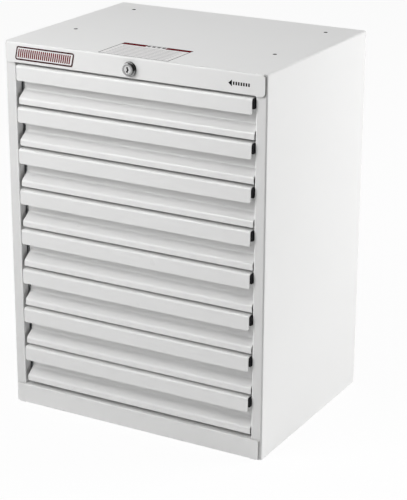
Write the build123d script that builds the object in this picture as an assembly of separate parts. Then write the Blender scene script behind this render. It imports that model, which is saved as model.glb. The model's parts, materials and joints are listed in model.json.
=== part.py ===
from build123d import *
import math
import os

# Overall size of the case, from the front of the header to the back
width = 457.2
depth = 346.2
height = 609.6

# Case sheet and its bends
case_sheet = 1.2
case_bend = 3.0
flange_bend = 2.0

# Front of the case: header, posts and bottom rail
header_height = 33.0
header_return = 12.0
front_corner = 6.0
end_gap = 4.5
relief_radius = 1.0
post_width = 18.3
post_return = 15.5
rail_height = 33.0
rail_ledge = 15.0
lap_gap = 0.2
lap_stand_off = 1.5
back_flange = 12.0
back_corner = 3.0

# Bolt holes in the top and the floor
bolt_spacing_x = 355.6
bolt_spacing_y = 177.8
bolt_from_back = 43.5
bolt_hole_radius = 3.5

# Drawers
drawer_count = 8
drawer_sheet = 1.0
header_gap = 3.2
rail_gap = 2.8
drawer_gap = 4.4
side_gap = 5.3
lip_proud = 3.0
lip_height = 24.0
lip_bend = 4.0
lip_return = 4.5
lip_corner = 3.5
recess_depth = 18.0
recess_bend = 6.0
wall_foot = 20.0
foot_setback = 2.3
foot_height = 9.0
foot_bend = 4.0
front_seat = 17.0

# Trays
tray_depth = 315.0
tray_top_drop = 8.0
tray_hem = 5.0

# Runners
runner_thickness = 12.7
runner_height = 35.0
runner_length = 300.0
runner_setback = 1.0
runner_drop = 34.5
runner_sheet = 1.2
runner_side_gap = 1.6
race_gap = 2.0
web_gap = 1.4
ball_width = 2.4
ball_gap = 0.3

# Uprights that carry the runners
upright_width = 30.0
upright_sheet = 1.5
upright_top_gap = 4.0
front_upright_setback = 36.0
rear_upright_setback = 290.0

# Slide latches
latch_length = 46.0
latch_height = 14.5
latch_depth = 9.0
latch_gap = 0.3
latch_nose_gap = 0.4
paddle_setback = 6.0
paddle_length = 20.0
paddle_drop = 4.5

# Lock barrel, plug and cam
lock_drop = 18.0
bezel_radius = 11.25
bezel_thickness = 1.5
lock_head_radius = 9.5
lock_head_length = 8.0
lock_head_chamfer = 1.0
lock_body_radius = 8.5
lock_body_length = 19.0
lock_body_flats = 14.0
lock_hole_gap = 0.25
plug_radius = 6.0
plug_gap = 0.06
plug_recess = 0.4
key_slot_width = 1.6
key_slot_height = 7.5
key_slot_depth = 12.0
nut_size = 22.0
nut_thickness = 4.0
nut_gap = 0.1
stub_radius = 4.0
cam_thickness = 2.0
cam_width = 9.0
cam_gap = 0.6
crank_radius = 10.0
crank_pin_radius = 1.5
key_turn = 90.0

# Lock link behind the header
link_gap = 0.6
link_thickness = 2.0
link_height = 12.0
link_top_drop = 4.0
link_tail = 18.0
slot_gap = 0.45
slot_end_gap = 0.7
follower_drop = 7.5
follower_inset = 5.3
follower_gap = 0.25
link_foot = 3.5
pin_overrun = 0.5

# Lock bar with its hooks
bar_gap = 0.6
bar_thickness = 2.0
bar_width = 10.0
bar_wall_gap = 4.4
bar_drop = 7.5
hook_height = 6.0
hook_thickness = 2.0
hook_drop = 2.0
hook_side_gap = 3.0
hook_lap = 8.0
catch_height = 5.5
catch_thickness = 2.0
catch_gap = 1.5
catch_reach = 12.0

# Guide clips of the lock link and the lock bar
clip_sheet = 1.2
clip_gap = 0.3
clip_length = 14.0
link_clip_places = (60.0, 150.0)
bar_clip_rows = (1, 4, 7)

# Places worked out from the sizes above
front_y = -depth / 2
back_y = depth / 2
inner_x = width / 2 - case_sheet
lap_end = width / 2 - end_gap
opening_x = width / 2 - post_width
post_front = case_sheet + lap_stand_off
drawer_pitch = (height - header_height - rail_height - header_gap - rail_gap) / drawer_count
front_height = drawer_pitch - drawer_gap
front_half = opening_x - side_gap
runner_outer_x = opening_x - runner_side_gap
tray_half = runner_outer_x - runner_thickness
wall_rear = recess_depth + drawer_sheet
follower_x = opening_x - follower_inset
lock_z = height - lock_drop
cam_rear = case_sheet + lock_body_length + cam_gap + cam_thickness
link_front = cam_rear + link_gap
link_rear = link_front + link_thickness
bar_front = max(link_rear, wall_rear) + bar_gap
bar_rear = bar_front + bar_thickness
hook_rear = bar_rear + hook_thickness
link_travel = 2 * crank_radius * math.sin(math.radians(key_turn / 2))
rest_angle = math.radians(-key_turn / 2)
pin_x = crank_radius * math.sin(rest_angle)
pin_z = lock_z + crank_radius * math.cos(rest_angle)
follower_z = height - follower_drop
bar_x = inner_x - bar_wall_gap - bar_width / 2


def lip_top(row):
    """Height of the pull lip's top on a drawer, counted from 0 at the top."""
    return height - header_height - header_gap - row * drawer_pitch


def block(x0, x1, y0, y1, z0, z1):
    """Box between two corners, with y counted backwards from the front of the case."""
    return Pos((x0 + x1) / 2, front_y + (y0 + y1) / 2, (z0 + z1) / 2) * Box(x1 - x0, y1 - y0, z1 - z0)


def bent_strip(points, radii, thickness):
    """Section of a bent sheet whose thickness lies to the right of the line through the points.

    The radii are those of the bends along that line. A bend too small to see has a radius of 0.
    """
    steps = [Vector(*b) - Vector(*a) for a, b in zip(points, points[1:])]
    steps = [step.normalized() for step in steps]
    sides = [Vector(step.Y, -step.X) for step in steps]
    shifts = [sides[0] * thickness]
    inner_radii = []
    for n, radius in enumerate(radii):
        one, two = sides[n], sides[n + 1]
        shifts.append((one + two) * (thickness / (1 + one.dot(two))))
        turn = steps[n].X * steps[n + 1].Y - steps[n].Y * steps[n + 1].X
        inner_radii.append(radius and radius + (thickness if turn > 0 else -thickness))
    shifts.append(sides[-1] * thickness)
    inner = [Vector(*p) + s for p, s in zip(points, shifts)]
    inner = [(p.X, p.Y) for p in inner]
    outer_line = FilletPolyline(*points, radius=radii)
    inner_line = FilletPolyline(*inner[::-1], radius=inner_radii[::-1])
    ends = Line(points[-1], inner[-1]) + Line(inner[0], points[0])
    return make_face(outer_line + inner_line + ends)


def along_x(face, x0, x1):
    """Section drawn as (y back from the case front, z), run from x0 to x1."""
    plane = Plane(origin=(x0, front_y, 0), x_dir=(0, 1, 0), z_dir=(1, 0, 0))
    return extrude(plane * face, amount=x1 - x0)


def along_y(face, y0, y1):
    """Section drawn as (x, z), run from y0 to y1, counted backwards from the case front."""
    plane = Plane(origin=(0, front_y + y1, 0), x_dir=(1, 0, 0), z_dir=(0, -1, 0))
    return extrude(plane * face, amount=y1 - y0)


def rod(x, z, radius, y0, y1):
    """Round bar along y."""
    return along_y(Pos(x, z) * Circle(radius), y0, y1)


def bolt_holes(z):
    """Four drills through a sheet at height z."""
    centre_y = back_y - bolt_from_back - bolt_spacing_y / 2
    drill = Cylinder(bolt_hole_radius, 4 * case_sheet)
    return [Pos(0, centre_y, z) * place * drill for place in GridLocations(bolt_spacing_x, bolt_spacing_y, 2, 2)]


def slot(x0, z0, x1, z1, radius):
    """Slot outline between two points of an (x, z) section."""
    length = math.hypot(x1 - x0, z1 - z0)
    turn = math.degrees(math.atan2(z1 - z0, x1 - x0))
    return Pos((x0 + x1) / 2, (z0 + z1) / 2) * Rot(0, 0, turn) * SlotCenterToCenter(length, 2 * radius)


def lock_outline(gap):
    """Section of the lock's body with its two flats, or with a gap around it of its hole in the header."""
    flats = Rectangle(2 * (lock_body_radius + gap), lock_body_flats + 2 * gap)
    return Pos(0, lock_z) * (Circle(lock_body_radius + gap) & flats)


def both_sides(piece):
    """A right-hand piece together with its left-hand twin."""
    return [piece, mirror(piece, Plane.YZ)]


def sheet_box():
    """Hollow case body behind the header, open at the back and below."""
    outer = block(-width / 2, width / 2, post_front, depth, 0, height)
    inner = block(-inner_x, inner_x, post_front + case_sheet, 2 * depth, -height, height - case_sheet)
    solids = []
    for body, radius in ((outer, case_bend), (inner, case_bend - case_sheet)):
        edges = body.edges().filter_by(Axis.Y).group_by(Axis.Z)[-1]
        edges += body.edges().filter_by(Axis.Z).group_by(Axis.Y)[0]
        edges += body.edges().filter_by(Axis.X).group_by(Axis.Y)[0].group_by(Axis.Z)[-1]
        solids.append(fillet(edges, radius))
    return solids[0] - solids[1]


def post_return_strip():
    """Inner edge of the right-hand post, bent back into the case."""
    start = opening_x + flange_bend + case_sheet
    path = [(start, post_front), (opening_x, post_front), (opening_x, post_front + post_return)]
    section = Pos(0, front_y) * bent_strip(path, [flange_bend], case_sheet)
    return extrude(section, amount=height - case_bend)


def front_plate(z0, z1, corner_height):
    """Flat end of the header or rail that laps over the right-hand post."""
    plate = block(opening_x - lap_gap, lap_end, 0, case_sheet, z0, z1)
    corner = plate.edges().filter_by(Axis.Y).group_by(Axis.X)[-1].sort_by(lambda e: abs(e.center().Z - corner_height))
    return fillet(corner[0], front_corner)


def make_shell():
    """Sides, top, header and posts, bent from one sheet."""
    shell = sheet_box()
    cut_x = opening_x + flange_bend + case_sheet
    shell -= block(-cut_x, cut_x, 0, post_front + 2 * case_sheet, -height, height - case_bend)
    seam_y = case_bend + post_front
    shell -= block(-lap_end, lap_end, 0, seam_y, height - case_bend, 2 * height)
    shell += both_sides(post_return_strip())
    turned = [(header_return, height - header_height), (0, height - header_height)]
    folded = [(0, height), (seam_y, height)]
    bare = [(0, height - 2 * case_bend)] + folded
    middle = bent_strip(turned + folded, [flange_bend, case_bend], case_sheet)
    shell += along_x(middle, -opening_x + lap_gap, opening_x - lap_gap)
    wing = along_x(bent_strip(bare, [case_bend], case_sheet), opening_x - lap_gap, lap_end)
    wing += front_plate(height - header_height, height - 2 * case_bend, height - header_height)
    shell += both_sides(wing)
    shell -= both_sides(rod(lap_end, height - case_bend, relief_radius, -case_sheet, post_front + 2 * case_sheet))
    shell -= along_y(lock_outline(lock_hole_gap), -case_sheet, 2 * case_sheet)
    return shell - bolt_holes(height)


def make_bottom_panel():
    """Floor sheet with the front rail and its ledge folded up."""
    notch = post_front + post_return + lap_gap
    floor = block(-inner_x, inner_x, notch, depth, 0, case_sheet)
    path = [(notch + case_sheet, 0), (0, 0), (0, rail_height), (rail_ledge, rail_height)]
    rail = along_x(bent_strip(path, [flange_bend, flange_bend], case_sheet), -opening_x + lap_gap, opening_x - lap_gap)
    wings = both_sides(front_plate(0, rail_height, 0))
    return floor + rail + wings - bolt_holes(0)


def make_back_panel():
    """Shallow pan that closes the back between the shell's edges."""
    inset = case_sheet
    outer = block(-inner_x, inner_x, depth - back_flange, depth, inset, height - inset)
    outer = fillet(outer.edges().filter_by(Axis.Y), back_corner)
    inner_half = inner_x - case_sheet
    rear = depth - case_sheet
    inner = block(-inner_half, inner_half, 0, rear, inset + case_sheet, height - inset - case_sheet)
    inner = fillet(inner.edges().filter_by(Axis.Y), back_corner - case_sheet)
    return outer - inner


def make_uprights():
    """Front and rear channel of the right-hand side."""
    solids = []
    for setback in (front_upright_setback, rear_upright_setback):
        low, high = setback, setback + upright_width
        path = [(inner_x, high), (runner_outer_x, high), (runner_outer_x, low), (inner_x, low)]
        section = bent_strip(path[::-1], [0, 0], upright_sheet)
        section = Pos(0, front_y, case_sheet) * section
        solids.append(extrude(section, amount=height - case_sheet - upright_top_gap))
    return solids


def runner_sections():
    """Cabinet, middle and drawer member of a right-hand runner, about a runner height of 0."""
    outer_half = runner_height / 2
    middle_half = outer_half - runner_sheet - race_gap
    inner_half = middle_half - runner_sheet - race_gap
    outer_reach = tray_half + web_gap
    middle_x = runner_outer_x - runner_sheet - web_gap
    middle_reach = tray_half + runner_sheet + web_gap
    inner_reach = middle_x - runner_sheet - web_gap

    def channel(web, reach, half):
        path = [(reach, half), (web, half), (web, -half), (reach, -half)]
        if reach > web:
            path = path[::-1]
        return bent_strip(path, [0, 0], runner_sheet)

    cabinet = channel(runner_outer_x, outer_reach, outer_half)
    middle = channel(middle_x, middle_reach, middle_half)
    ball_height = runner_sheet + 2 * (race_gap - ball_gap)
    for side in (-1, 1):
        row = Pos((middle_x + middle_reach) / 2, side * (middle_half - runner_sheet / 2))
        middle += row * Rectangle(ball_width, ball_height)
    return cabinet, middle, channel(tray_half, inner_reach, inner_half)


def make_runner_member(section, row):
    """One runner member on both sides of a drawer."""
    start = wall_rear + runner_setback
    piece = along_y(Pos(0, lip_top(row) - runner_drop) * section, start, start + runner_length)
    return both_sides(piece)


def make_drawer_front():
    """Pull lip, finger hollow and foot flange of the top drawer, bent from one sheet."""
    top = lip_top(0)
    foot = top - front_height
    sill = foot + drawer_sheet
    path = [(lip_return - lip_proud, top - lip_height), (-lip_proud, top - lip_height), (-lip_proud, top)]
    path += [(wall_rear, top), (wall_rear, foot + wall_foot)]
    path += [(foot_setback + drawer_sheet, foot + foot_height), (foot_setback + drawer_sheet, sill)]
    path.append((wall_rear + front_seat, sill))
    radii = [0, lip_bend, 0, recess_bend + drawer_sheet, foot_bend, 0]
    front = along_x(bent_strip(path, radii, drawer_sheet), -front_half, front_half)
    frame = block(-front_half, front_half, -2 * lip_proud, lip_return, top - lip_height, top)
    corners = frame.edges().filter_by(Axis.Y).group_by(Axis.Z)[0]
    return front - (frame - fillet(corners, lip_corner))


def make_tray():
    """Drawer pan of the top drawer."""
    top = lip_top(0) - tray_top_drop
    floor = lip_top(0) - front_height + drawer_sheet
    path = [(tray_half - tray_hem, top), (tray_half, top), (tray_half, floor)]
    path += [(-x, z) for x, z in path[::-1]]
    pan = along_y(bent_strip(path, [0, 0, 0, 0], drawer_sheet), wall_rear, wall_rear + tray_depth)
    half = tray_half - drawer_sheet / 2
    for start in (wall_rear, wall_rear + tray_depth - drawer_sheet):
        wall = block(-half, half, start, start + drawer_sheet, floor + drawer_sheet / 2, top - drawer_sheet)
        pan += wall
    return pan


def make_lock_catch():
    """Lug welded to the top drawer's tray, which the lock's hook stops."""
    catch_y = hook_rear + catch_gap
    catch_top = lip_top(0) - hook_drop - hook_height - catch_gap
    reach = tray_half + catch_reach
    return block(tray_half, reach, catch_y, catch_y + catch_thickness, catch_top - catch_height, catch_top)


def make_latch():
    """Sliding latch in the right-hand end of the top drawer's pull lip."""
    nose = opening_x - latch_nose_gap
    front = drawer_sheet + latch_gap - lip_proud
    top = lip_top(0) - drawer_sheet - latch_gap
    body = block(nose - latch_length, nose, front, front + latch_depth, top - latch_height, top)
    edge = body.edges().filter_by(Axis.X).group_by(Axis.Z)[-1].sort_by(Axis.Y)[0]
    body = fillet(edge, lip_bend - drawer_sheet - latch_gap)
    start = nose - latch_length + paddle_setback
    low = top - latch_height - paddle_drop
    paddle = block(start, start + paddle_length, front + latch_depth / 2, front + latch_depth, low, top - latch_height)
    return body + paddle


def make_lock_barrel():
    """Lock housing with its bezel, bored for the plug."""
    rear = case_sheet + lock_body_length
    barrel = along_y(lock_outline(0), 0, rear)
    head = rod(0, lock_z, lock_head_radius, -lock_head_length, 0)
    head = chamfer(head.faces().sort_by(Axis.Y)[0].edges(), lock_head_chamfer)
    barrel += head + rod(0, lock_z, bezel_radius, -bezel_thickness, 0)
    return barrel - rod(0, lock_z, plug_radius + plug_gap, -2 * lock_head_length, 2 * rear)


def make_lock_nut():
    """Hexagon nut that clamps the barrel to the header."""
    outline = Pos(0, lock_z) * (RegularPolygon(nut_size / 2, 6, major_radius=False) - Circle(lock_body_radius + nut_gap))
    return along_y(outline, case_sheet, case_sheet + nut_thickness)


def make_lock_plug():
    """Plug with its key slot and the stub that carries the cam."""
    front = plug_recess - lock_head_length
    step = cam_rear - cam_thickness
    plug = rod(0, lock_z, plug_radius, front, step) + rod(0, lock_z, stub_radius, step, cam_rear)
    half = key_slot_width / 2
    tall = key_slot_height / 2
    return plug - block(-half, half, front, front + key_slot_depth, lock_z - tall, lock_z + tall)


def make_lock_cam():
    """Cam plate with the crank pin that pushes the link."""
    plate = slot(0, lock_z, pin_x, pin_z, cam_width / 2) - Pos(0, lock_z) * Circle(stub_radius)
    plate = along_y(plate, cam_rear - cam_thickness, cam_rear)
    return plate + rod(pin_x, pin_z, crank_pin_radius, cam_rear, link_rear + pin_overrun)


def make_lock_link():
    """Flat bar with an upright slot for the cam and a slanted slot for the lock bar."""
    far_x = follower_x - link_travel
    low = follower_z - bar_drop - link_foot
    high = height - link_top_drop
    outline = Pos((follower_x - link_tail) / 2, high - link_height / 2) * Rectangle(follower_x + link_tail, link_height)
    outline += Pos((far_x + follower_x) / 2, (low + high) / 2) * Rectangle(link_travel + 2 * link_foot, high - low)
    reach = slot_end_gap - slot_gap
    crank = slot(pin_x, pin_z - reach, pin_x, lock_z + crank_radius + reach, crank_pin_radius + slot_gap)
    slant = slot(follower_x, follower_z, far_x, follower_z - bar_drop, crank_pin_radius + follower_gap)
    return along_y(outline - crank - slant, link_front, link_rear)


def make_lock_bar():
    """Upright bar with the pin that follows the link."""
    half = bar_width / 2
    high = height - link_top_drop
    low = lip_top(drawer_count - 1) - hook_drop - hook_height
    bar = block(bar_x - half, bar_x + half, bar_front, bar_rear, low, high)
    bar += block(follower_x - link_foot, bar_x, bar_front, bar_rear, follower_z - link_foot, high)
    return bar + rod(follower_x, follower_z, crank_pin_radius, link_front - pin_overrun, bar_front)


def make_lock_hooks():
    """Hooks welded to the rear of the lock bar, one for each drawer."""
    start = tray_half + hook_side_gap
    end = bar_x - bar_width / 2 + hook_lap
    hooks = []
    for row in range(drawer_count):
        top = lip_top(row) - hook_drop
        hooks.append(block(start, end, bar_rear, hook_rear, top - hook_height, top))
    return hooks


def make_lock_guides():
    """Guide blocks that hold the link under the top and the bar against the upright."""
    wall = clip_sheet + clip_gap
    high = height - link_top_drop
    low = high - link_height
    guides = []
    for x in link_clip_places:
        x0, x1 = x - clip_length / 2, x + clip_length / 2
        clip = block(x0, x1, link_front - wall, link_rear + wall, low - wall, height - case_sheet)
        y0, y1 = link_front - clip_gap, link_rear + clip_gap
        guides.append(clip - block(x0, x1, y0, y1, low - clip_gap, high + clip_gap))
    half = bar_width / 2
    for row in bar_clip_rows:
        z = lip_top(row) - drawer_pitch / 2
        z0, z1 = z - clip_length / 2, z + clip_length / 2
        clip = block(bar_x - half - wall, bar_x + half + wall, bar_front - wall, front_upright_setback, z0, z1)
        x0, x1 = bar_x - half - clip_gap, bar_x + half + clip_gap
        guides.append(clip - block(x0, x1, bar_front - clip_gap, bar_rear + clip_gap, z0, z1))
    return guides


def write(node, solids):
    """Write one node's solids to its file."""
    if not isinstance(solids, list):
        solids = [solids]
    export_step(Compound(label=node, children=[s for piece in solids for s in piece.solids()]), f"parts/{node}.step")


def make_case():
    """Everything that stays with the case, by node name."""
    cabinet, _, _ = runner_sections()
    right_uprights = make_uprights()
    members = [make_runner_member(cabinet, row) for row in range(drawer_count)]
    return {
        "shell": make_shell(),
        "back_panel": make_back_panel(),
        "bottom_panel": make_bottom_panel(),
        "right_uprights": right_uprights,
        "left_uprights": [mirror(piece, Plane.YZ) for piece in right_uprights],
        "right_cabinet_runners": [pair[0] for pair in members],
        "left_cabinet_runners": [pair[1] for pair in members],
        "lock_barrel": make_lock_barrel(),
        "lock_nut": make_lock_nut(),
        "lock_guides": make_lock_guides(),
        "lock_plug": make_lock_plug(),
        "lock_cam": make_lock_cam(),
        "lock_link": make_lock_link(),
        "lock_bar": make_lock_bar(),
        "lock_hooks": make_lock_hooks(),
    }


def make_drawer():
    """Pieces of the top drawer, by the end of their node name."""
    _, middle, inner = runner_sections()
    return {
        "front": make_drawer_front(),
        "tray": [make_tray(), make_lock_catch()],
        "runners": make_runner_member(inner, 0),
        "middle_runners": make_runner_member(middle, 0),
        "latch": make_latch(),
    }


if __name__ == "__main__":
    os.makedirs("parts", exist_ok=True)
    for node, solids in make_case().items():
        write(node, solids)
    for name, solids in make_drawer().items():
        solids = solids if isinstance(solids, list) else [solids]
        for row in range(drawer_count):
            drop = Pos(0, 0, -row * drawer_pitch)
            write(f"drawer_{row + 1}_{name}", [drop * piece for piece in solids])
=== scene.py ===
import bpy
import bmesh
import json
import math
from mathutils import Matrix, Vector


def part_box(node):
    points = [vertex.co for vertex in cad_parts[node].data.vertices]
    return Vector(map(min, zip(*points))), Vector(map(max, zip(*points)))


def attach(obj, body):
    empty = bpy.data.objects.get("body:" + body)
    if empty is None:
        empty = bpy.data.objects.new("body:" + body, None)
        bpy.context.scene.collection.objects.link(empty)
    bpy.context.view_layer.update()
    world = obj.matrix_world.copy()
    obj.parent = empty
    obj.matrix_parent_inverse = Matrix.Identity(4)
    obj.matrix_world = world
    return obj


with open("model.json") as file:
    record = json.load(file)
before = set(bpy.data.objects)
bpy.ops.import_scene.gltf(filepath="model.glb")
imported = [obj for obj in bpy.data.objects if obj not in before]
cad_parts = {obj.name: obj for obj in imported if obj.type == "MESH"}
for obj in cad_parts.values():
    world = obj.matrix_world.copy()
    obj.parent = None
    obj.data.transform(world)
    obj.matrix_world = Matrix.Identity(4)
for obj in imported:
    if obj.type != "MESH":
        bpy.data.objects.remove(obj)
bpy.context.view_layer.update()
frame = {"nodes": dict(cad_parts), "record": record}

# Sizes in metres, in the cabinet's own frame: front towards -Y, floor at z = 0
MM = 0.001
SHELL_LOW, SHELL_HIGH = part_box("shell")
FRONT_Y = SHELL_LOW.y
TOP_Z = SHELL_HIGH.z
DRAWERS = sum(name.endswith("_front") for name in frame["nodes"])

# Thickness of printed ink, and how close two corners of a copied mesh may be before they become one
INK = 0.06 * MM
MERGE = 0.001 * MM

# Where the camera stands, fitted to the seven corners that the photograph shows. Angles are in degrees,
# the focal length is in the photograph's pixels, and the sensor covers its longer side, the height.
PHOTO_HEIGHT = 500
SENSOR = 36.0
CAMERA_AZIMUTH = 29.12
CAMERA_ELEVATION = 19.59
CAMERA_ROLL = 0.26
CAMERA_RIGHT = 0.0262
CAMERA_UP = -0.0497
CAMERA_DISTANCE = 2.7482
FOCAL_PIXELS = 1686.3

# Plate on the header, counted from the case's left edge and down from its top
PLATE_LEFT = 20 * MM
PLATE_WIDTH = 106 * MM
PLATE_DROP = 6 * MM
PLATE_HEIGHT = 22 * MM
PLATE_SLANT = 4.5 * MM
PLATE_CORNER = 3.5 * MM
PLATE_FILM = 0.35 * MM
RIM_WIDTH = 2.4 * MM
HATCH_INSET = 4.2 * MM
HATCH_BARS = 26
HATCH_SHARE = 0.62

# Arrow on the header that points to the way the latches slide
ARROW_LEFT = 395 * MM
ARROW_DROP = 18 * MM
ARROW_HEAD = 6 * MM
ARROW_HEIGHT = 10 * MM
ARROW_TAIL = 5 * MM
ARROW_LENGTH = 35 * MM
ARROW_BARS = 7
ARROW_SHARE = 0.62

# How far the drawer fronts reach to the right past their solids, below the lips and at the lips
END_REACH = 3.7 * MM
END_HEIGHT = 37.5 * MM
END_DEPTH = 19.2 * MM
LIP_REACH = 2.0 * MM
LIP_END_LENGTH = 6.0 * MM
LIP_END_PROUD = 0.01 * MM
SHARP_ANGLE = math.radians(30)

# Ends of the header, which reach to the bend of the side, and a near black strip of painted shade where the
# seam lies open behind each of them
HEADER_HEIGHT = 33.0 * MM
HEADER_CORNER = 6.0 * MM
HEADER_END_GAP = 2.7 * MM
HEADER_END_LENGTH = 6.0 * MM
HEADER_END_PROUD = 0.03 * MM
HEADER_SHEET = 1.2 * MM
HEADER_BEND = 3.0 * MM
CORNER_STEPS = 8
SEAM_WIDTH = 1.3 * MM
SEAM_OUTER = 0.4 * MM
SEAM_SETBACK = 2.7 * MM

# Faces of the posts beside the drawers, painted darker as shade: how far out they start, between which
# depths behind the front they lie, and how wide their inner edges with a painted highlight are
POST_INNER = 210.3 * MM
POST_SHALLOW = 2.0 * MM
POST_DEPTH = 4.0 * MM
POST_HIGHLIGHT_WIDTH = 1.8 * MM

# Keyway in the lock's plug, drawn in black on the plug's face as painted shade, as (across, up) points in
# millimetres
LOCK_LOW, LOCK_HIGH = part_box("lock_barrel")
LOCK_Z = (LOCK_LOW.z + LOCK_HIGH.z) / 2
PLUG_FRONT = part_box("lock_plug")[0].y
KEYWAY = (
    (-1.5, 4.4), (0.7, 4.4), (1.2, 1.6), (2.3, 0.8), (2.3, -1.0), (1.1, -1.8),
    (0.9, -4.4), (-2.0, -4.4), (-2.3, -2.3), (-0.6, -1.3), (-0.4, 0.7), (-1.7, 1.8),
)

# The lock's head: how deep its rim, side and bezel start behind its face, and where each of the three
# changes from one grey to the other in its painted reflections
RIM_START = 0.2 * MM
SIDE_START = 1.1 * MM
BEZEL_START = 6.4 * MM
RIM_HIGHLIGHT_LINE = 8.5 * MM
SIDE_REFLECTION_LINE = -1.5 * MM
BEZEL_REFLECTION_RADIUS = 10.5 * MM

# Sleeves that line the bolt holes in the top, near black as dark steel and as painted shade inside the
# holes
HOLE_SPACING = (355.6 * MM, 177.8 * MM)
HOLE_FROM_BACK = 43.5 * MM
SLEEVE_OUTER = 3.45 * MM
SLEEVE_INNER = 2.9 * MM
SLEEVE_DEPTH = 9 * MM
SLEEVE_SETBACK = 0.05 * MM
SLEEVE_STEPS = 24

# Rivets in the trays' sides, with their places as shares of the tray's depth
TRAY_SHEET = 1.0 * MM
RIVET_RADIUS = 3.2 * MM
RIVET_PROUD = 0.8 * MM
RIVET_PLACES = (0.12, 0.5, 0.88)

# Record card on the top, counted from the case's left edge and back from its front. The start and length of
# a title's dash are shares of the dashes' pitch, and its front and rear are shares of the band's depth,
# from the card's rear edge.
CARD_LEFT = 170 * MM
CARD_WIDTH = 122 * MM
CARD_FRONT = 3.5 * MM
CARD_DEPTH = 77 * MM
CARD_FILM = 0.08 * MM
CARD_BAND = 11 * MM
CARD_BORDER = 1.2 * MM
CARD_TITLE = (43 * MM, 35 * MM)
CARD_DASHES = 4
DASH_START = 0.2
DASH_LENGTH = 0.6
DASH_FRONT = 0.8
DASH_REAR = 0.3
CARD_ROWS = 7
CARD_ROW_INSET = 9 * MM
CARD_ROW_HALF = 0.7 * MM

# White of the powder coat, the shares of it in its cloudy places and on the posts as painted shade, the
# grey of the painted highlight on the posts' inner edges, and how rough the clear coat is
WHITE = (0.80, 0.80, 0.795, 1.0)
CLOUD_SHADE = 0.988
POST_PAINTED_SHADE = 0.92
EDGE_PAINTED_HIGHLIGHT = 0.93
COAT_ROUGHNESS = 0.12

# Floor: how much of it is plain white to the camera and in gloss, its grey under light, and its radius
FLOOR_GLOW = 0.95
FLOOR_GREY = 0.92
FLOOR_RADIUS = 12.0

# Studio lamps: name, place, size and power in watts, each aimed at the middle of the cabinet
LAMPS = (
    ("near", (-0.45, -1.2, 1.5), (0.9, 0.9), 15.6),
    ("left", (-2.4, -2.4, 1.3), (1.3, 1.3), 34.3),
    ("right", (2.4, 2.2, 1.2), (1.8, 1.8), 115.0),
    ("above", (0.0, -0.4, 2.6), (2.4, 2.4), 9.0),
)
SHOWN_IN_GLOSS = ("near", "left")


class Value:
    """Output of a node, with sums on it written as Python."""

    def __init__(self, paint, socket):
        self.paint = paint
        self.socket = socket

    def sum(self, operation, other):
        return self.paint.node("Math", {"operation": operation}, {0: self, 1: other})

    def __add__(self, other):
        return self.sum("ADD", other)

    def __sub__(self, other):
        return self.sum("SUBTRACT", other)

    def __mul__(self, other):
        return self.sum("MULTIPLY", other)

    def __gt__(self, other):
        return self.sum("GREATER_THAN", other)

    def __lt__(self, other):
        return self.sum("LESS_THAN", other)


class Paint:
    """A material and the nodes that make it."""

    def __init__(self, name):
        self.material = bpy.data.materials.new(name)
        self.material.use_nodes = True
        self.tree = self.material.node_tree
        self.tree.nodes.clear()

    def node(self, kind, settings=(), sockets=(), output=0):
        """Adds one node with its settings and what goes into its sockets, and gives one of its outputs."""
        made = self.tree.nodes.new("ShaderNode" + kind)
        for key, value in dict(settings).items():
            setattr(made, key, value)
        for key, value in dict(sockets).items():
            if isinstance(value, Value):
                self.tree.links.new(value.socket, made.inputs[key])
            else:
                made.inputs[key].default_value = value
        return Value(self, made.outputs[output])

    def place(self):
        """Where a point is on the object, in metres."""
        return self.node("TexCoord", output="Object")

    def noise(self, scale, detail=2.0, place=None):
        """Cloudy pattern between 0 and 1."""
        sockets = {"Vector": place or self.place(), "Scale": scale, "Detail": detail, "Roughness": 0.5}
        return self.node("TexNoise", {}, sockets, "Fac")

    def mix(self, factor, first, second):
        """Colour that goes from the first to the second as the factor goes from 0 to 1."""
        return self.node("Mix", {"data_type": "RGBA"}, {0: factor, 6: first, 7: second}, 2)

    def span(self, value, low, high):
        """Stretches a value of 0 to 1 to lie between two numbers."""
        return value * (high - low) + low

    def bump(self, height, distance):
        """Relief of a pattern, with the height of its peaks in metres."""
        sockets = {"Height": height, "Distance": distance, "Strength": 1.0}
        return self.node("Bump", {}, sockets, "Normal")

    def finish(self, **sockets):
        """Ends the material in a principled shader."""
        names = {}
        for key, value in sockets.items():
            names[key.replace("_", " ").title().replace("Ior", "IOR")] = value
        shader = self.node("BsdfPrincipled", {}, names)
        end = self.tree.nodes.new("ShaderNodeOutputMaterial")
        self.tree.links.new(shader.socket, end.inputs["Surface"])
        return self.material


def grey(level):
    """Colour of an even grey."""
    return (level, level, level, 1.0)


def scaled(colour, share):
    """A share of a colour."""
    return tuple(share * c for c in colour[:3]) + (1.0,)


def on_posts(paint, start):
    """1 on the faces of the posts beside the drawers, further out than a start, and 0 elsewhere."""
    place = paint.place()
    x, y = (paint.node("SeparateXYZ", {}, {0: place}, axis) for axis in "XY")
    across = paint.node("Math", {"operation": "ABSOLUTE"}, {0: x})
    return (across > start) * (y > FRONT_Y + POST_SHALLOW) * (y < FRONT_Y + POST_DEPTH)


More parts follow.
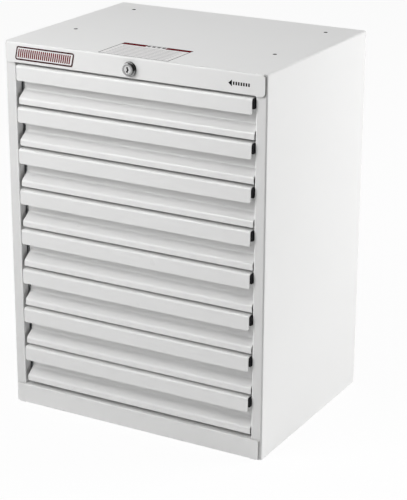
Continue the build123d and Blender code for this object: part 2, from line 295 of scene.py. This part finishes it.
def powder_coat(name, colour, roughness, peel, post_painted_shade=1.0, coat=0.0):
    """White powder coat: a fine orange peel, and a gloss that varies a little from place to place.

    The narrow posts beside the drawers may be painted darker as shade, with a painted highlight on their
    inner edges.
    """
    paint = Paint(name)
    tint = paint.mix(paint.noise(scale=5.0), colour, scaled(colour, CLOUD_SHADE))
    if post_painted_shade < 1.0:
        # Painted highlight on the posts' inner edges, then painted shade on the rest of the posts
        tint = paint.mix(on_posts(paint, POST_INNER), tint, grey(EDGE_PAINTED_HIGHLIGHT))
        tint = paint.mix(on_posts(paint, POST_INNER + POST_HIGHLIGHT_WIDTH), tint, scaled(colour, post_painted_shade))
    return paint.finish(
        base_color=tint,
        roughness=paint.span(paint.noise(scale=20.0), roughness - 0.02, roughness + 0.03),
        specular_ior_level=0.3,
        coat_weight=coat,
        coat_roughness=COAT_ROUGHNESS,
        normal=paint.bump(paint.noise(scale=900.0), peel),
    )


def zinc_plate(name, colour, roughness, grain):
    """Plated steel with a faint grain along the way the strip was rolled."""
    paint = Paint(name)
    squeezed = paint.node("Mapping", {}, {"Vector": paint.place(), "Scale": grain})
    streak = paint.noise(scale=60.0, detail=4.0, place=squeezed)
    bloom = paint.noise(scale=45.0, detail=3.0)
    return paint.finish(
        base_color=paint.mix(bloom, colour, scaled(colour, 0.82)),
        metallic=1.0,
        roughness=paint.span(streak, roughness - 0.07, roughness + 0.1),
        normal=paint.bump(streak, distance=0.00002),
    )


def chrome_plate(name):
    """Polished chrome with the faint waviness of a plated casting."""
    paint = Paint(name)
    wave = paint.noise(scale=220.0, detail=1.0)
    return paint.finish(
        base_color=paint.mix(wave, grey(0.66), grey(0.60)),
        metallic=1.0,
        roughness=paint.span(paint.noise(scale=400.0), 0.06, 0.14),
        normal=paint.bump(wave, distance=0.00001),
    )


def lock_chrome_painted_reflections(name):
    """Chrome of the lock's head with painted reflections of a dark room with one light above it on the
    left.
    """
    paint = Paint(name)
    place = paint.place()
    depth = paint.node("SeparateXYZ", {}, {0: place}, "Y") - LOCK_LOW.y
    height = paint.node("SeparateXYZ", {}, {0: place}, "Z") - LOCK_Z
    across = paint.node("SeparateXYZ", {}, {0: place}, "X")
    square = height * height + across * across
    wave = paint.noise(scale=220.0, detail=1.0)
    # Painted reflections: a darker grey face, a rim with a painted highlight at its upper left and dark
    # elsewhere, a side black above and grey below, and a bezel grey inside and dark at its edge
    face = paint.mix(wave, grey(0.40), grey(0.34))
    rim = paint.mix((height - across) > RIM_HIGHLIGHT_LINE, grey(0.10), grey(0.85))
    side = paint.mix(height > SIDE_REFLECTION_LINE, grey(0.42), grey(0.008))
    bezel = paint.mix(square > BEZEL_REFLECTION_RADIUS ** 2, grey(0.45), grey(0.08))
    tint = paint.mix(depth > RIM_START, face, rim)
    tint = paint.mix(depth > SIDE_START, tint, side)
    tint = paint.mix(depth > BEZEL_START, tint, bezel)
    return paint.finish(
        base_color=tint,
        metallic=1.0,
        roughness=paint.span(paint.noise(scale=400.0), 0.14, 0.24),
        normal=paint.bump(wave, distance=0.00001),
    )


def moulded(name, colour, roughness, gloss=0.5):
    """Moulded plastic with a spark-eroded skin."""
    paint = Paint(name)
    skin = paint.noise(scale=2200.0)
    return paint.finish(
        base_color=paint.mix(paint.noise(scale=120.0), colour, scaled(colour, 1.35)),
        roughness=paint.span(skin, roughness - 0.05, roughness + 0.08),
        specular_ior_level=gloss,
        normal=paint.bump(skin, distance=0.00004),
    )


def printed(name, colour, roughness, gloss=0.0):
    """Ink or film with a slight mottle in its colour and gloss."""
    paint = Paint(name)
    mottle = paint.noise(scale=300.0, detail=3.0)
    faded = tuple(0.9 * c + 0.004 for c in colour[:3]) + (1.0,)
    return paint.finish(
        base_color=paint.mix(mottle, colour, faded),
        roughness=paint.span(paint.noise(scale=90.0), roughness - 0.05, roughness + 0.07),
        specular_ior_level=gloss,
        normal=paint.bump(mottle, distance=0.000006),
    )


RED = printed("print_red", (0.17, 0.014, 0.020, 1.0), 0.45)
MAROON = printed("print_maroon", (0.06, 0.016, 0.018, 1.0), 0.45)
BLACK = printed("print_black", (0.010, 0.010, 0.011, 1.0), 0.5)
GREY = printed("print_grey", (0.42, 0.42, 0.43, 1.0), 0.5)
DARK_GREY = printed("print_dark_grey", (0.07, 0.07, 0.075, 1.0), 0.5)
# Near black for the bolt hole sleeves: dark steel, and painted shade inside the holes
SLEEVE_STEEL_AND_SHADE = printed("sleeve_steel_and_shade", grey(0.012), 0.6)
# Near black for the painted shade in the open seams behind the header's ends
SEAM_PAINTED_SHADE = printed("seam_painted_shade", grey(0.012), 0.6)
FILM = printed("print_film", (0.82, 0.81, 0.805, 1.0), 0.32, gloss=0.25)
LOCK_CHROME_PAINTED_REFLECTIONS = lock_chrome_painted_reflections("lock_chrome_painted_reflections")
FINISHES = {
    "case_paint": powder_coat("case_paint", WHITE, 0.30, peel=0.000008, post_painted_shade=POST_PAINTED_SHADE),
    "front_paint": powder_coat("front_paint", WHITE, 0.28, peel=0.000008, coat=0.25),
    "tray_paint": powder_coat("tray_paint", WHITE, 0.36, peel=0.000012),
    "zinc": zinc_plate("zinc", (0.62, 0.63, 0.64, 1.0), 0.38, grain=(1.0, 1.0, 0.05)),
    "runner_zinc": zinc_plate("runner_zinc", (0.68, 0.69, 0.71, 1.0), 0.26, grain=(1.0, 0.04, 1.0)),
    "chrome": chrome_plate("chrome"),
    "latch_plastic": moulded("latch_plastic", (0.007, 0.007, 0.008, 1.0), 0.5, gloss=0.12),
    "guide_plastic": moulded("guide_plastic", (0.70, 0.69, 0.64, 1.0), 0.5),
}


def finish_nodes():
    """Gives every node of the frame the finish of its slot, and the lock's barrel a chrome of its own with
    painted reflections.
    """
    for row in frame["record"]["subparts"]:
        mesh = frame["nodes"][row["node"]].data
        mesh.materials.clear()
        lock = row["node"] == "lock_barrel"
        mesh.materials.append(LOCK_CHROME_PAINTED_REFLECTIONS if lock else FINISHES[row["material_slot"]])


def floor_material():
    """Pale floor that looks white to the camera and still takes a soft shadow."""
    paint = Paint("floor_pale")
    seen = paint.node("LightPath", output="Is Camera Ray")
    seen = seen + paint.node("LightPath", output="Is Glossy Ray")
    seen = seen + paint.node("LightPath", output="Is Transmission Ray")
    plain = paint.node("BsdfDiffuse", {}, {"Color": grey(FLOOR_GREY)})
    bright = paint.node("Emission", {}, {"Color": grey(1.0), "Strength": 1.0})
    both = paint.node("MixShader", {}, {0: seen * FLOOR_GLOW, 1: plain, 2: bright})
    end = paint.tree.nodes.new("ShaderNodeOutputMaterial")
    paint.tree.links.new(both.socket, end.inputs["Surface"])
    return paint.material


def piece(name, mesh, material, body):
    """Makes a mesh into an object that rides on a body."""
    bmesh.ops.recalc_face_normals(mesh, faces=mesh.faces)
    data = bpy.data.meshes.new(name)
    mesh.to_mesh(data)
    mesh.free()
    data.materials.append(material)
    made = bpy.data.objects.new(name, data)
    bpy.context.scene.collection.objects.link(made)
    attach(made, body)


def prism(mesh, outline, lift):
    """Adds a flat outline to a mesh and raises it by a vector."""
    face = mesh.faces.new([mesh.verts.new(point) for point in outline])
    raised = bmesh.ops.extrude_face_region(mesh, geom=[face])["geom"]
    bmesh.ops.translate(mesh, verts=[v for v in raised if isinstance(v, bmesh.types.BMVert)], vec=lift)


def ring(mesh, outer, inner, lift):
    """Adds the band between two outlines that have as many corners each, and raises it by a vector."""
    outside = [mesh.verts.new(point) for point in outer]
    inside = [mesh.verts.new(point) for point in inner]
    band = []
    for n in range(len(outer)):
        after = (n + 1) % len(outer)
        band.append(mesh.faces.new((outside[n], outside[after], inside[after], inside[n])))
    raised = bmesh.ops.extrude_face_region(mesh, geom=band)["geom"]
    bmesh.ops.translate(mesh, verts=[v for v in raised if isinstance(v, bmesh.types.BMVert)], vec=lift)


def rounded(corners, radius, steps=6):
    """Outline of a polygon, given as flat points, with round corners."""
    points = []
    for n, here in enumerate(corners):
        here = Vector(here)
        before = (Vector(corners[n - 1]) - here).normalized()
        after = (Vector(corners[(n + 1) % len(corners)]) - here).normalized()
        half = before.angle(after) / 2
        reach = radius / math.tan(half)
        centre = here + (before + after).normalized() * radius / math.sin(half)
        start, end = here + before * reach - centre, here + after * reach - centre
        for step in range(steps + 1):
            arm = start.lerp(end, step / steps).normalized() * radius
            points.append(centre + arm)
    return points


def on_header(points, proud):
    """Places flat points, counted from the case's left edge and down from its top, on the header."""
    return [Vector((SHELL_LOW.x + x, FRONT_Y - proud, TOP_Z - z)) for x, z in points]


def on_top(points, proud):
    """Places flat points, counted from the case's left edge and back from its front, on the top."""
    return [Vector((SHELL_LOW.x + x, FRONT_Y + y, TOP_Z + proud)) for x, y in points]


def slanted(inset):
    """Corners of the plate's leaning outline, drawn in by an inset."""
    lean = PLATE_SLANT * (1 - 2 * inset / PLATE_HEIGHT)
    low, high = PLATE_DROP + inset, PLATE_DROP + PLATE_HEIGHT - inset
    left, right = PLATE_LEFT + inset, PLATE_LEFT + PLATE_WIDTH - inset
    middle = PLATE_SLANT / 2
    left, right = left + middle - lean / 2, right + middle - lean / 2
    return [(left + lean, low), (right + lean, low), (right, high), (left, high)]


def make_plate():
    """Blank plate on the header: a pale film, a dark rim and a row of plain red bars."""
    film = bmesh.new()
    prism(film, on_header(rounded(slanted(0), PLATE_CORNER), 0), Vector((0, -PLATE_FILM, 0)))
    piece("plate_film", film, FILM, "case")
    rim = bmesh.new()
    outer = on_header(rounded(slanted(0), PLATE_CORNER), PLATE_FILM)
    inner = on_header(rounded(slanted(RIM_WIDTH), PLATE_CORNER - RIM_WIDTH), PLATE_FILM)
    ring(rim, outer, inner, Vector((0, -INK, 0)))
    piece("plate_rim", rim, MAROON, "case")
    hatch = bmesh.new()
    left_top, right_top, right_low, left_low = [Vector(corner) for corner in slanted(HATCH_INSET)]
    for n in range(HATCH_BARS):
        start, end = n / HATCH_BARS, (n + HATCH_SHARE) / HATCH_BARS
        bar = [left_top.lerp(right_top, start), left_top.lerp(right_top, end)]
        bar += [left_low.lerp(right_low, end), left_low.lerp(right_low, start)]
        prism(hatch, on_header(bar, PLATE_FILM), Vector((0, -INK, 0)))
    piece("plate_hatch", hatch, RED, "case")


def make_arrow():
    """Printed arrow head with a tail of bars, at the right of the header."""
    half = ARROW_HEIGHT / 2
    neck = ARROW_LEFT + ARROW_HEAD
    pitch = (ARROW_LENGTH - ARROW_HEAD) / ARROW_BARS
    shapes = [[(ARROW_LEFT, 0), (neck, -half), (neck, half)]]
    for n in range(ARROW_BARS):
        end = neck + (n + 1) * pitch
        shapes.append(box_outline(end - ARROW_SHARE * pitch, -ARROW_TAIL / 2, end, ARROW_TAIL / 2))
    arrow = bmesh.new()
    for outline in shapes:
        prism(arrow, on_header([(x, z + ARROW_DROP) for x, z in outline], 0), Vector((0, -INK, 0)))
    piece("arrow", arrow, BLACK, "case")


def front_copy(number, cuts, shift):
    """Moved copy of the part of a drawer front that lies inside cuts, given as a point and the way out."""
    copy = bmesh.new()
    copy.from_mesh(frame["nodes"][f"drawer_{number}_front"].data)
    bmesh.ops.remove_doubles(copy, verts=copy.verts, dist=MERGE)
    for point, outward in cuts:
        whole = copy.verts[:] + copy.edges[:] + copy.faces[:]
        bmesh.ops.bisect_plane(copy, geom=whole, plane_co=point, plane_no=outward, clear_outer=True)
    bmesh.ops.holes_fill(copy, edges=copy.edges[:])
    bmesh.ops.translate(copy, verts=copy.verts, vec=shift)
    for face in copy.faces:
        face.smooth = True
    for edge in copy.edges:
        edge.smooth = edge.calc_face_angle(math.pi) < SHARP_ANGLE
    return copy


def make_front_ends():
    """Right-hand ends of each drawer front, drawn out from the sheet's own section.

    Below the lip the sheet reaches almost to the post, and the lip with its round corner a little less far.
    """
    left, up, back = Vector((-1, 0, 0)), Vector((0, 0, 1)), Vector((0, 1, 0))
    for n in range(1, DRAWERS + 1):
        low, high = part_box(f"drawer_{n}_front")
        depth = Vector((0, FRONT_Y + END_DEPTH, 0))
        split = Vector((0, 0, low.z + END_HEIGHT))
        cuts = ((Vector((high.x - END_REACH, 0, 0)), left), (split, up), (depth, back))
        end = front_copy(n, cuts, Vector((END_REACH, 0, 0)))
        piece(f"front_end_{n}", end, FINISHES["front_paint"], f"drawer_{n}")
        cuts = ((Vector((high.x - LIP_END_LENGTH, 0, 0)), left), (split, -up), (depth, back))
        end = front_copy(n, cuts, Vector((LIP_REACH, -LIP_END_PROUD, LIP_END_PROUD)))
        piece(f"lip_end_{n}", end, FINISHES["front_paint"], f"drawer_{n}")


def header_end(outset):
    """Right side and round lower corner of the header, moved out by an outset, as (x, down) points."""
    edge = SHELL_HIGH.x - HEADER_END_GAP
    centre = (edge - HEADER_CORNER, HEADER_HEIGHT - HEADER_CORNER)
    reach = HEADER_CORNER + outset
    points = [(edge + outset, HEADER_BEND)]
    for n in range(CORNER_STEPS + 1):
        turn = math.pi / 2 * n / CORNER_STEPS
        points.append((centre[0] + reach * math.cos(turn), centre[1] + reach * math.sin(turn)))
    return points


def make_header_ends():
    """Ends of the header, drawn out to the bend of the side, with a near black strip of painted shade
    behind each where the seam lies open.
    """
    ends = bmesh.new()
    seams = bmesh.new()
    start = SHELL_HIGH.x - HEADER_END_GAP - HEADER_END_LENGTH
    outline = header_end(0) + [(start, HEADER_HEIGHT), (start, HEADER_BEND)]
    band = header_end(SEAM_OUTER) + header_end(SEAM_OUTER - SEAM_WIDTH)[::-1]
    for side in (-1, 1):
        points = [Vector((side * x, FRONT_Y - HEADER_END_PROUD, TOP_Z - z)) for x, z in outline]
        prism(ends, points, Vector((0, HEADER_SHEET, 0)))
        # Near black strip on the post: painted shade in the open seam behind the header's end
        points = [Vector((side * x, FRONT_Y + SEAM_SETBACK, TOP_Z - z)) for x, z in band]
        prism(seams, points, Vector((0, -INK, 0)))
    piece("header_ends", ends, FINISHES["case_paint"], "case")
    piece("header_seam_shades", seams, SEAM_PAINTED_SHADE, "case")


def make_keyway():
    """Black zigzag on the face of the lock's plug, painted shade for the dark keyway, which turns with it.
    """
    keyway_shade = bmesh.new()
    prism(keyway_shade, [Vector((x * MM, PLUG_FRONT, LOCK_Z + z * MM)) for x, z in KEYWAY], Vector((0, -INK, 0)))
    piece("keyway_shade", keyway_shade, BLACK, "lock_plug")


def make_sleeves():
    """Near black sleeves that line the bolt holes in the top, dark steel with painted shade inside the
    holes.
    """
    centre_y = SHELL_HIGH.y - HOLE_FROM_BACK - HOLE_SPACING[1] / 2
    sleeves = bmesh.new()
    for x in (-HOLE_SPACING[0] / 2, HOLE_SPACING[0] / 2):
        for y in (-HOLE_SPACING[1] / 2, HOLE_SPACING[1] / 2):
            centre = Vector((x, centre_y + y, TOP_Z - SLEEVE_SETBACK))
            outer, inner = [circle(centre, radius, SLEEVE_STEPS) for radius in (SLEEVE_OUTER, SLEEVE_INNER)]
            ring(sleeves, outer, inner, Vector((0, 0, -SLEEVE_DEPTH)))
    piece("bolt_sleeves", sleeves, SLEEVE_STEEL_AND_SHADE, "case")


def make_rivets():
    """Low round rivet heads inside each tray, where its runners are fastened to its sides."""
    for n in range(1, DRAWERS + 1):
        tray_low, tray_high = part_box(f"drawer_{n}_tray")
        runner_low, runner_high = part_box(f"drawer_{n}_runners")
        height = (runner_low.z + runner_high.z) / 2
        inner = -tray_low.x - TRAY_SHEET
        rivets = bmesh.new()
        for side in (-1, 1):
            for share in RIVET_PLACES:
                centre = Vector((side * inner, tray_low.y + share * (tray_high.y - tray_low.y), height))
                shape = Matrix.Diagonal((RIVET_PROUD, RIVET_RADIUS, RIVET_RADIUS, 1.0))
                place = Matrix.Translation(centre) @ shape
                bmesh.ops.create_uvsphere(rivets, u_segments=16, v_segments=10, radius=1.0, matrix=place)
        piece(f"rivets_{n}", rivets, FINISHES["zinc"], f"drawer_{n}")


def circle(centre, radius, steps):
    """Outline of a level circle."""
    turns = [2 * math.pi * n / steps for n in range(steps)]
    return [centre + Vector((math.cos(a), math.sin(a), 0)) * radius for a in turns]


def box_outline(x0, y0, x1, y1):
    """Outline of a flat rectangle between two of its corners."""
    return [(x0, y0), (x1, y0), (x1, y1), (x0, y1)]


def make_card():
    """Blank record card on the top: a pale film with a border, ruled rows, and a red band at its rear.

    The band stops on either side of the dashes that stand for the card's title.
    """
    x0, x1 = CARD_LEFT, CARD_LEFT + CARD_WIDTH
    y0, y1 = CARD_FRONT, CARD_FRONT + CARD_DEPTH
    up = Vector((0, 0, INK))
    film = bmesh.new()
    prism(film, on_top(box_outline(x0, y0, x1, y1), 0), Vector((0, 0, CARD_FILM)))
    piece("card_film", film, FILM, "case")
    rule = bmesh.new()
    outer = box_outline(x0, y0, x1, y1)
    inner = box_outline(x0 + CARD_BORDER, y0 + CARD_BORDER, x1 - CARD_BORDER, y1 - CARD_BORDER)
    ring(rule, on_top(outer, CARD_FILM), on_top(inner, CARD_FILM), up)
    start, length = CARD_TITLE
    pitch = length / CARD_DASHES
    for n in range(CARD_DASHES):
        left = x0 + start + (n + DASH_START) * pitch
        right = left + DASH_LENGTH * pitch
        dash = box_outline(left, y1 - DASH_FRONT * CARD_BAND, right, y1 - DASH_REAR * CARD_BAND)
        prism(rule, on_top(dash, CARD_FILM), up)
    piece("card_border", rule, DARK_GREY, "case")
    rows = bmesh.new()
    rows_top = y1 - CARD_BAND - CARD_ROW_INSET
    rows_low = y0 + CARD_ROW_INSET
    for n in range(CARD_ROWS):
        y = rows_low + (rows_top - rows_low) * n / (CARD_ROWS - 1)
        row = box_outline(x0 + CARD_ROW_INSET, y - CARD_ROW_HALF, x1 - CARD_ROW_INSET, y + CARD_ROW_HALF)
        prism(rows, on_top(row, CARD_FILM), up)
    piece("card_rules", rows, GREY, "case")
    band = bmesh.new()
    for left, right in ((x0 + CARD_BORDER, x0 + start), (x0 + start + length, x1 - CARD_BORDER)):
        prism(band, on_top(box_outline(left, y1 - CARD_BAND, right, y1 - CARD_BORDER), CARD_FILM), up)
    piece("card_band", band, RED, "case")


def make_floor():
    """Round floor that the cabinet stands on."""
    mesh = bmesh.new()
    bmesh.ops.create_circle(mesh, cap_ends=True, segments=64, radius=FLOOR_RADIUS)
    data = bpy.data.meshes.new("floor")
    mesh.to_mesh(data)
    mesh.free()
    data.materials.append(floor_material())
    floor = bpy.data.objects.new("floor", data)
    bpy.context.scene.collection.objects.link(floor)


def make_world():
    """White to the camera, in gloss and through glass, with no light of its own on the object."""
    world = bpy.data.worlds.new("studio")
    bpy.context.scene.world = world
    world.use_nodes = True
    tree = world.node_tree
    tree.nodes.clear()
    rays = tree.nodes.new("ShaderNodeLightPath")
    first = tree.nodes.new("ShaderNodeMath")
    second = tree.nodes.new("ShaderNodeMath")
    second.use_clamp = True
    tree.links.new(rays.outputs["Is Camera Ray"], first.inputs[0])
    tree.links.new(rays.outputs["Is Glossy Ray"], first.inputs[1])
    tree.links.new(first.outputs[0], second.inputs[0])
    tree.links.new(rays.outputs["Is Transmission Ray"], second.inputs[1])
    glow = tree.nodes.new("ShaderNodeBackground")
    glow.inputs["Color"].default_value = grey(1.0)
    tree.links.new(second.outputs[0], glow.inputs["Strength"])
    end = tree.nodes.new("ShaderNodeOutputWorld")
    tree.links.new(glow.outputs[0], end.inputs["Surface"])


def make_lamps():
    """Area lamps, of which only some are mirrored in gloss."""
    aim = Vector((0.0, 0.0, TOP_Z / 2))
    for name, place, size, power in LAMPS:
        lamp = bpy.data.lights.new(name, "AREA")
        lamp.shape = "RECTANGLE"
        lamp.size, lamp.size_y = size
        lamp.energy = power
        made = bpy.data.objects.new(name, lamp)
        made.location = place
        made.rotation_euler = (aim - Vector(place)).to_track_quat("-Z", "Y").to_euler()
        made.visible_glossy = name in SHOWN_IN_GLOSS
        bpy.context.scene.collection.objects.link(made)


def make_camera():
    """Camera at its fitted place, looking near the middle of the cabinet."""
    azimuth, elevation, roll = (math.radians(a) for a in (CAMERA_AZIMUTH, CAMERA_ELEVATION, CAMERA_ROLL))
    back = Vector((math.sin(azimuth), -math.cos(azimuth), 0.0)) * math.cos(elevation)
    back.z = math.sin(elevation)
    right = Vector((math.cos(azimuth), math.sin(azimuth), 0.0))
    turn = Matrix.Rotation(roll, 3, back)
    right, up = turn @ right, turn @ back.cross(right)
    camera = bpy.data.cameras.new("camera")
    camera.sensor_width = SENSOR
    camera.lens = FOCAL_PIXELS / PHOTO_HEIGHT * SENSOR
    made = bpy.data.objects.new("camera", camera)
    place = Vector((0.0, 0.0, TOP_Z / 2)) + right * CAMERA_RIGHT + up * CAMERA_UP + back * CAMERA_DISTANCE
    made.matrix_world = Matrix.Translation(place) @ Matrix((right, up, back)).transposed().to_4x4()
    bpy.context.scene.collection.objects.link(made)
    bpy.context.scene.camera = made


finish_nodes()
make_plate()
make_arrow()
make_card()
make_front_ends()
make_header_ends()
make_keyway()
make_sleeves()
make_rivets()
make_floor()
make_world()
make_lamps()
make_camera()
bpy.context.scene.view_settings.view_transform = "Standard"
